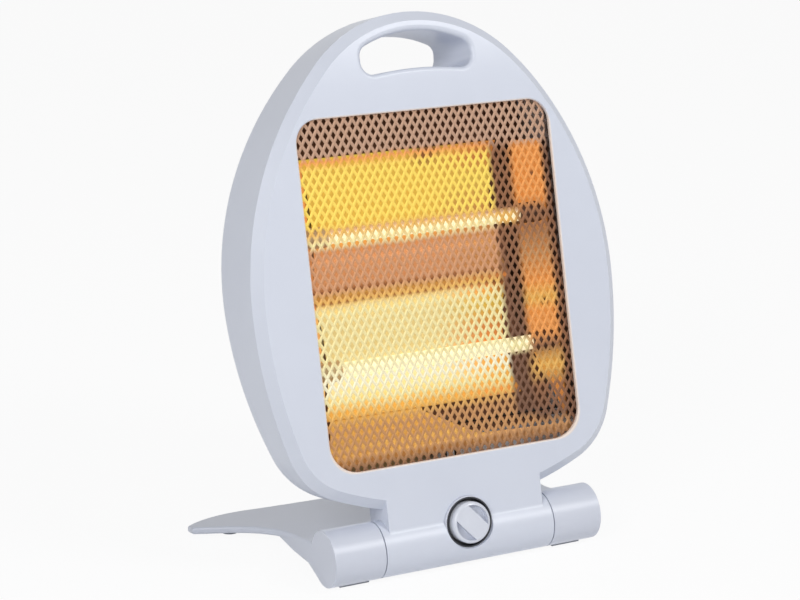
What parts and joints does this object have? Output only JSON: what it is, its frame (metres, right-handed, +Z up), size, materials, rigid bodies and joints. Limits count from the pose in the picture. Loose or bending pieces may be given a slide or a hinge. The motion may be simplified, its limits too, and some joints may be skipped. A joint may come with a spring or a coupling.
{
  "type": "quartz heater",
  "caption": "Egg-shaped portable quartz heater with a mesh window, carrying-handle slot and rotary control, tilting on a barrel-hinged foot.",
  "frame": {"origin": "on the floor, under the middle of the whole object's box", "axes": "+Z up, heating window faces -Y, hinge along X"},
  "size_m": [0.291, 0.1614, 0.3589],
  "materials": {
    "shell_white": "moulded ABS, satin",
    "foot_grey": "moulded ABS, satin",
    "knob_plastic": "moulded ABS, semi gloss",
    "bezel_plastic": "moulded ABS, satin",
    "grille_wire": "expanded steel sheet, heat-tinted",
    "reflector_sheet": "bright rolled sheet",
    "sheet_steel": "rolled galvanised sheet",
    "quartz": "drawn quartz tube",
    "heating_wire": "resistance wire, glowing",
    "ceramic": "fired steatite, unglazed",
    "brass": "turned",
    "fastener_steel": "zinc plated",
    "switch_plastic": "moulded nylon",
    "wire_insulation": "silicone sleeve",
    "rubber": "moulded pad"
  },
  "bodies": {
    "foot": {"foot": "foot_grey", "foot_pads": "rubber", "left_barrel_cap": "foot_grey", "left_friction_washer": "fastener_steel", "left_hinge_bolt": "fastener_steel", "left_hinge_nut": "fastener_steel", "right_barrel_cap": "foot_grey", "right_friction_washer": "fastener_steel", "right_hinge_bolt": "fastener_steel", "right_hinge_nut": "fastener_steel"},
    "housing": {"casing_screws": "fastener_steel", "cord_gland": "switch_plastic", "end_plate_screws": "fastener_steel", "front_shell": "shell_white", "grille": "grille_wire", "grille_clip_screws": "fastener_steel", "grille_clips": "sheet_steel", "heat_shield": "sheet_steel", "heat_shield_screws": "fastener_steel", "knob_bezel": "bezel_plastic", "lead_wires": "wire_insulation", "left_end_plate": "sheet_steel", "lower_heating_coil": "heating_wire", "lower_left_ceramic_cap": "ceramic", "lower_left_terminal_stud": "brass", "lower_quartz_tube": "quartz", "lower_right_ceramic_cap": "ceramic", "lower_right_terminal_stud": "brass", "rear_shell": "shell_white", "reflector": "reflector_sheet", "reflector_posts": "sheet_steel", "right_end_plate": "sheet_steel", "rotary_switch": "switch_plastic", "terminal_block": "switch_plastic", "thermal_cutout": "fastener_steel", "tip_over_bracket": "sheet_steel", "tip_over_microswitch": "switch_plastic", "tip_over_pin": "fastener_steel", "upper_heating_coil": "heating_wire", "upper_left_ceramic_cap": "ceramic", "upper_left_terminal_stud": "brass", "upper_quartz_tube": "quartz", "upper_right_ceramic_cap": "ceramic", "upper_right_terminal_stud": "brass"},
    "knob": {"control_knob": "knob_plastic", "switch_shaft": "fastener_steel"},
    "tip_over": {"tip_over_weight": "fastener_steel"}
  },
  "joints": [
    {"name": "housing_tilt", "type": "hinge", "parent": "foot", "child": "housing", "pos_m": [0, -0.05888, 0.0196], "axis": [-1, 0, 0], "range_deg": [-13.7, 26]},
    {"name": "knob_turn", "type": "hinge", "parent": "housing", "child": "knob", "pos_m": [0, -0.07115, 0.03258], "axis": [0, -0.9715, 0.2368], "range_deg": [0, 180]},
    {"name": "tip_over_swing", "type": "hinge", "parent": "housing", "child": "tip_over", "pos_m": [-0.025, -0.04625, 0.05872], "axis": [1, 0, 0], "range_deg": [-35, 35]}
  ]
}
